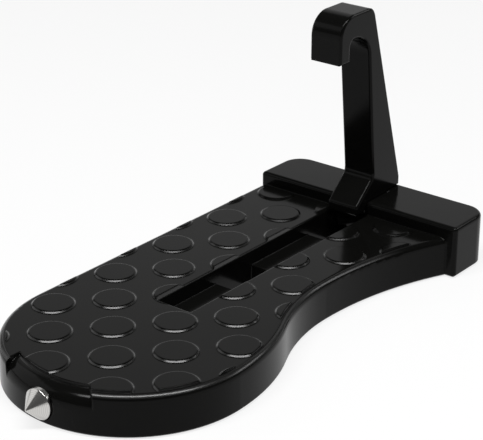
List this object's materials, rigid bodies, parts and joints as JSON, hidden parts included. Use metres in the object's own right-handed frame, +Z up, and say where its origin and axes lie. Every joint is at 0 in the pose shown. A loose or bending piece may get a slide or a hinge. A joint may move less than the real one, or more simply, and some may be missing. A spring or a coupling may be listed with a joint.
{
  "type": "door latch step",
  "caption": "Folding foot step that hangs by its hook arm on a car's open-door latch, with a dotted tread and a steel glass-breaking point.",
  "frame": {"origin": "on the flat underside, straight below the hinge axis and on the slot's centre line", "axes": "+Z up, +Y along the plate towards the crossbar that rests on the car, +X across the plate to the waisted side"},
  "size_m": [0.0761, 0.1687, 0.0808],
  "materials": {
    "black_coat": "satin black coating on cast aluminium",
    "pin_steel": "ground steel",
    "point_steel": "turned bright steel",
    "pad_rubber": "matt black rubber"
  },
  "bodies": {
    "pedal": {"pedal_casting": "black_coat", "pivot_pin": "pin_steel", "hammer_point": "point_steel", "rear_pad": "pad_rubber"},
    "arm": {"hook_arm": "black_coat"}
  },
  "joints": [
    {"name": "arm_fold", "type": "hinge", "parent": "pedal", "child": "arm", "pos_m": [0, 0, 0.009], "axis": [1, 0, 0], "range_deg": [0, 72]}
  ]
}
